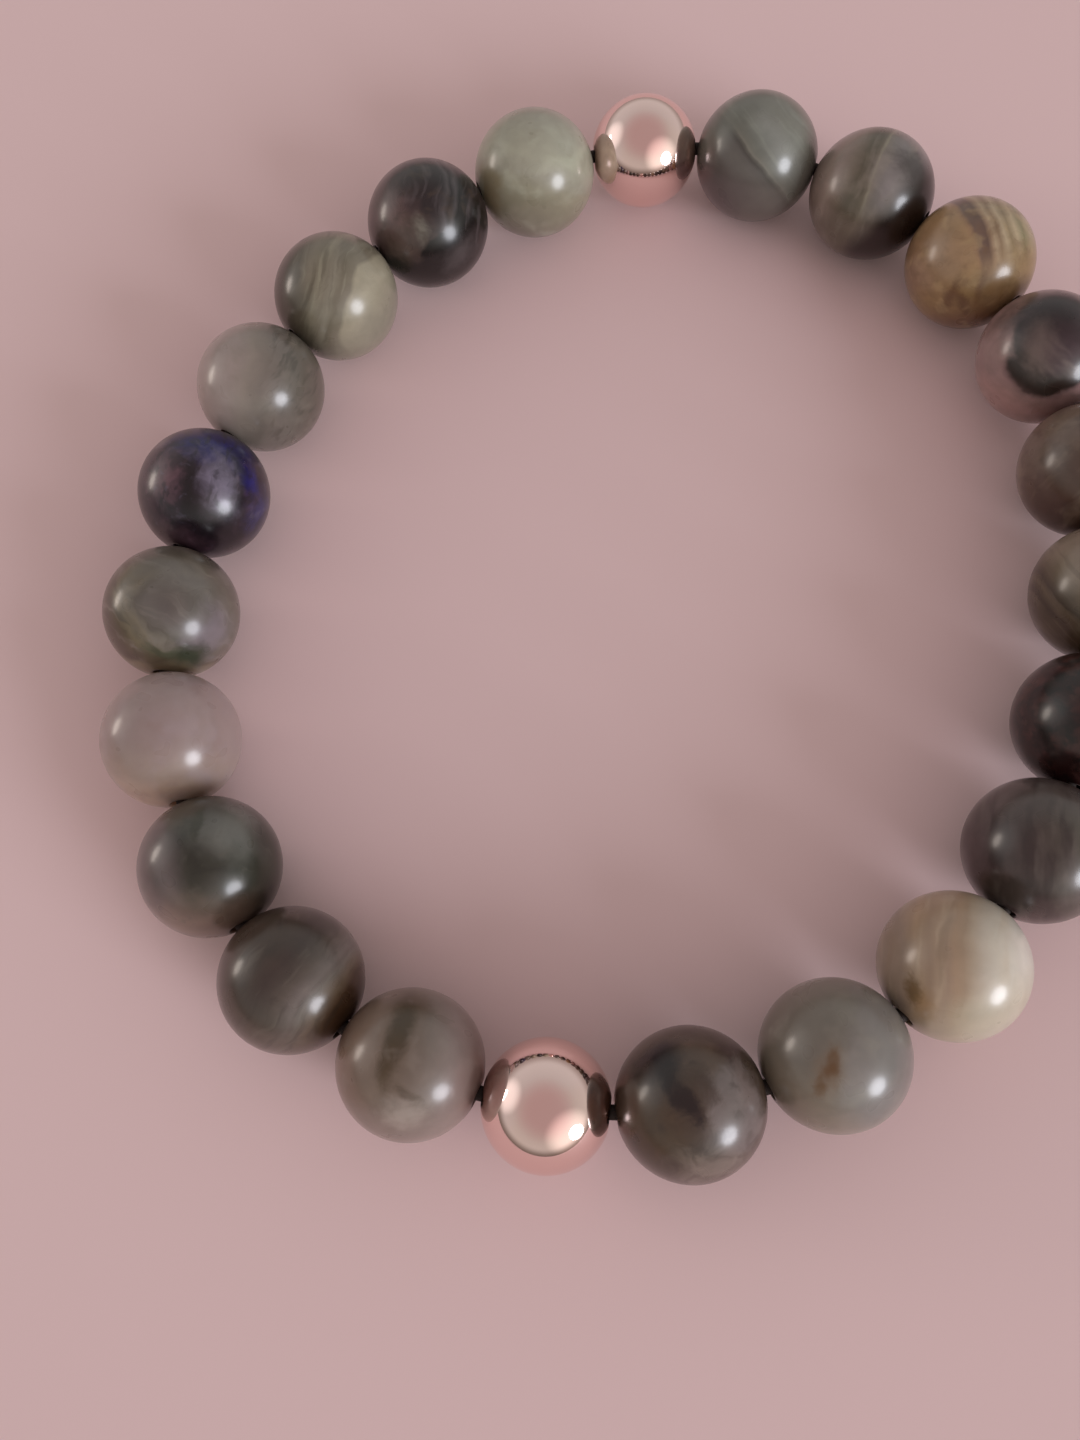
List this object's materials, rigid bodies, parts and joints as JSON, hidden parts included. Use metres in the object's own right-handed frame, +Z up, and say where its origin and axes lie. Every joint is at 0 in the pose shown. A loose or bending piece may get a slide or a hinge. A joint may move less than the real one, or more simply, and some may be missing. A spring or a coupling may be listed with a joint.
{
  "type": "stone bead stretch bracelet",
  "caption": "Closed stretch bracelet of round polished stone beads in mixed grey, brown and green tones, with two smaller mirror-polished metal beads on a hidden elastic cord.",
  "frame": {"origin": "middle of the bracelet's outline on the surface that it lies on", "axes": "+Z up, along the axis of the wrist; +Y from the middle towards metal_bead_01, away from the viewer; +X to the viewer's right"},
  "size_m": [0.0634, 0.0686, 0.008],
  "materials": {
    "elastic": "satin",
    "rose_metal": "polished",
    "stone_01": "polished",
    "stone_02": "polished",
    "stone_03": "polished",
    "stone_04": "polished",
    "stone_05": "polished",
    "stone_06": "polished",
    "stone_07": "polished",
    "stone_08": "polished",
    "stone_09": "polished",
    "stone_10": "polished",
    "stone_11": "polished",
    "stone_12": "polished",
    "stone_13": "polished",
    "stone_14": "polished",
    "stone_15": "polished",
    "stone_16": "polished",
    "stone_17": "polished",
    "stone_18": "polished",
    "stone_19": "polished",
    "stone_20": "polished",
    "stone_21": "polished"
  },
  "bodies": {
    "root": {"elastic_cord": "elastic", "metal_bead_01": "rose_metal", "metal_bead_02": "rose_metal", "stone_bead_01": "stone_01", "stone_bead_02": "stone_02", "stone_bead_03": "stone_03", "stone_bead_04": "stone_04", "stone_bead_05": "stone_05", "stone_bead_06": "stone_06", "stone_bead_07": "stone_07", "stone_bead_08": "stone_08", "stone_bead_09": "stone_09", "stone_bead_10": "stone_10", "stone_bead_11": "stone_11", "stone_bead_12": "stone_12", "stone_bead_13": "stone_13", "stone_bead_14": "stone_14", "stone_bead_15": "stone_15", "stone_bead_16": "stone_16", "stone_bead_17": "stone_17", "stone_bead_18": "stone_18", "stone_bead_19": "stone_19", "stone_bead_20": "stone_20", "stone_bead_21": "stone_21"}
  },
  "joints": []
}
